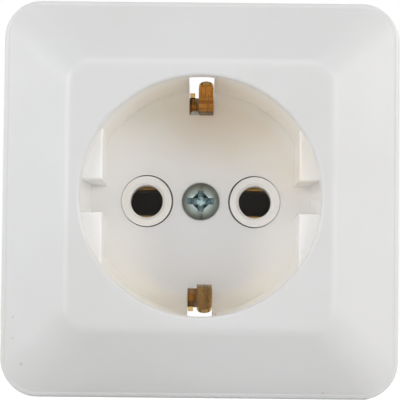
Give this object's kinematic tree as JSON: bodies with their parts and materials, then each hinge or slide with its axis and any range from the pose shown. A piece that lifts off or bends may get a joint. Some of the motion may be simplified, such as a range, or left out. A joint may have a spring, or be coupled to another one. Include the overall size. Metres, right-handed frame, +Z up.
{
  "type": "wall socket",
  "caption": "Flush wall socket with a square moulded cover, a round recess, pin holes, sprung side earth clips and a claw-fixed steel support frame.",
  "frame": {"origin": "on the socket's axis, in the plane of the wall, at the centre of the frame's screw holes", "axes": "-Y out of the wall towards the plug, +Z up, +X to the right as seen from the front"},
  "size_m": [0.068, 0.0405, 0.068],
  "materials": {
    "cover_plastic": "satin moulded white, yellowed in the recess",
    "insert_plastic": "cream moulding",
    "base_plastic": "dark moulding, guessed from the dark pin holes",
    "brass": "rolled strip, worn where the plug rubs",
    "zinc_steel": "bluish zinc plate",
    "bare_steel": "plain spring steel"
  },
  "bodies": {
    "socket": {"cap_screws": "zinc_steel", "centre_bush": "brass", "contact_cap": "insert_plastic", "contact_rivets": "bare_steel", "cover_plate": "cover_plastic", "cover_screw": "zinc_steel", "earth_bridge": "brass", "earth_bridge_rivets": "bare_steel", "earth_post": "brass", "earth_terminal_clamp": "zinc_steel", "earth_terminal_screw": "zinc_steel", "frame_rivets": "bare_steel", "insert_base": "base_plastic", "left_contact_spring": "bare_steel", "left_line_contact": "brass", "left_terminal_clamp": "zinc_steel", "left_terminal_screw": "zinc_steel", "right_contact_spring": "bare_steel", "right_line_contact": "brass", "right_terminal_clamp": "zinc_steel", "right_terminal_screw": "zinc_steel", "support_frame": "zinc_steel"},
    "left_claw": {"left_claw": "zinc_steel", "left_claw_screw": "zinc_steel"},
    "right_claw": {"right_claw": "zinc_steel", "right_claw_screw": "zinc_steel"}
  },
  "joints": [
    {"name": "left_claw_swing", "type": "hinge", "parent": "socket", "child": "left_claw", "pos_m": [-0.0262, -0.00317, 0], "axis": [0, 0, 1], "range_deg": [0, 15]},
    {"name": "right_claw_swing", "type": "hinge", "parent": "socket", "child": "right_claw", "pos_m": [0.0262, -0.00317, 0], "axis": [0, 0, -1], "range_deg": [0, 15]}
  ]
}
